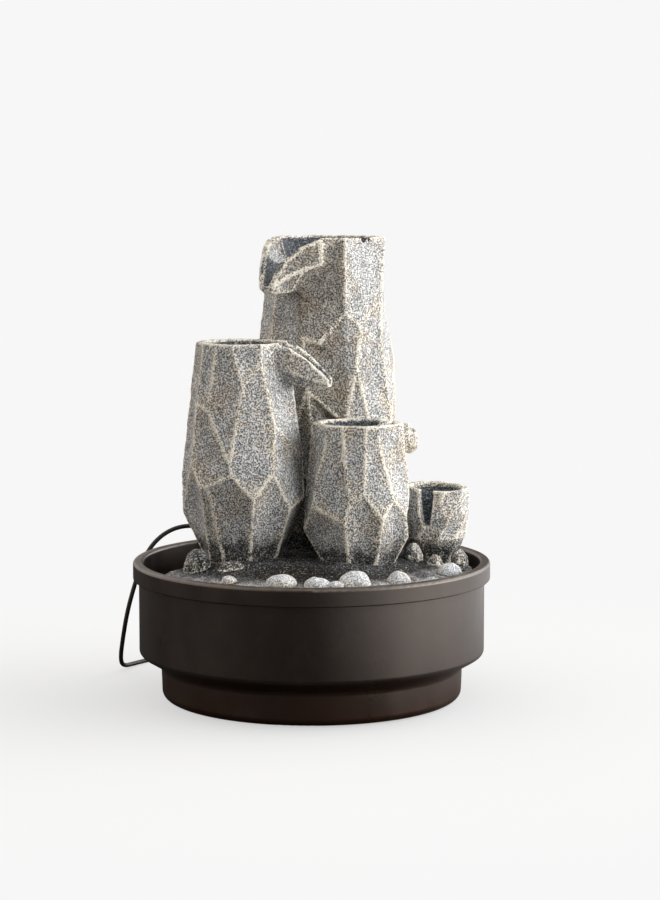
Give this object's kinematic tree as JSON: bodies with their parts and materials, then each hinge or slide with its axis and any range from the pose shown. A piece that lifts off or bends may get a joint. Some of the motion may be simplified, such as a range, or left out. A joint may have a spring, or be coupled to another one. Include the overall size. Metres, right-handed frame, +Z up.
{
  "type": "tabletop water fountain",
  "caption": "Tabletop water fountain: faceted stone-look pillars with stepped cups and spouts on a pebbled deck in a round basin, with a submersible pump.",
  "frame": {"origin": "centre of the basin's foot on the table", "axes": "+Z up, -Y the front, +X to the viewer's right of the front"},
  "size_m": [0.2995, 0.3665, 0.3595],
  "materials": {
    "pillar_stone": "cast resin with a granite grain, worn pale on the ridges",
    "deck_stone": "cast resin with a dark brown wash",
    "pebble_stone": "cast resin, fine speckle",
    "basin_plastic": "satin dark bronze",
    "pump_plastic": "satin black",
    "impeller_plastic": "satin white",
    "ceramic": "polished",
    "magnet": "sintered",
    "black_rubber": "matte",
    "clear_hose": "clear vinyl",
    "cord_vinyl": "matte vinyl jacket",
    "plug_metal": "nickel plated",
    "plug_insulation": "moulded"
  },
  "bodies": {
    "root": {"basin": "basin_plastic", "foot_pads": "black_rubber", "pump_housing": "pump_plastic", "volute_cover": "pump_plastic", "pump_shaft": "ceramic", "shaft_bushings": "black_rubber", "outlet_spigot": "pump_plastic", "suction_cups": "black_rubber", "cord_gland": "black_rubber", "power_cord": "cord_vinyl", "cord_tail": "cord_vinyl", "cord_coil": "cord_vinyl", "plug_body": "cord_vinyl", "plug_barrel": "plug_metal", "plug_insulator": "plug_insulation"},
    "intake_cover": {"intake_cover": "pump_plastic"},
    "rotor": {"impeller": "impeller_plastic", "rotor_magnet": "magnet"},
    "flow_dial": {"flow_dial": "impeller_plastic"},
    "rockwork": {"rock_base": "deck_stone", "tall_pillar": "pillar_stone", "left_pillar": "pillar_stone", "front_pillar": "pillar_stone", "small_cup": "pillar_stone", "left_boulders": "deck_stone", "right_boulders": "deck_stone", "pebbles": "pebble_stone", "riser_tube": "clear_hose", "cup_nozzle": "pump_plastic"}
  },
  "joints": [
    {"name": "rockwork_lift", "type": "slide", "parent": "root", "child": "rockwork", "axis": [0, 0, 1], "range_m": [0, 0.15]},
    {"name": "impeller_spin", "type": "hinge", "parent": "root", "child": "rotor", "pos_m": [0.013, 0.062, 0.026], "axis": [0, 1, 0], "continuous": true},
    {"name": "flow_dial_turn", "type": "hinge", "parent": "root", "child": "flow_dial", "pos_m": [0.028, 0.062, 0.044], "axis": [0, 0, 1], "range_deg": [0, 90]},
    {"name": "intake_cover_pull", "type": "slide", "parent": "root", "child": "intake_cover", "axis": [0, -1, 0], "range_m": [0, 0.03]}
  ]
}
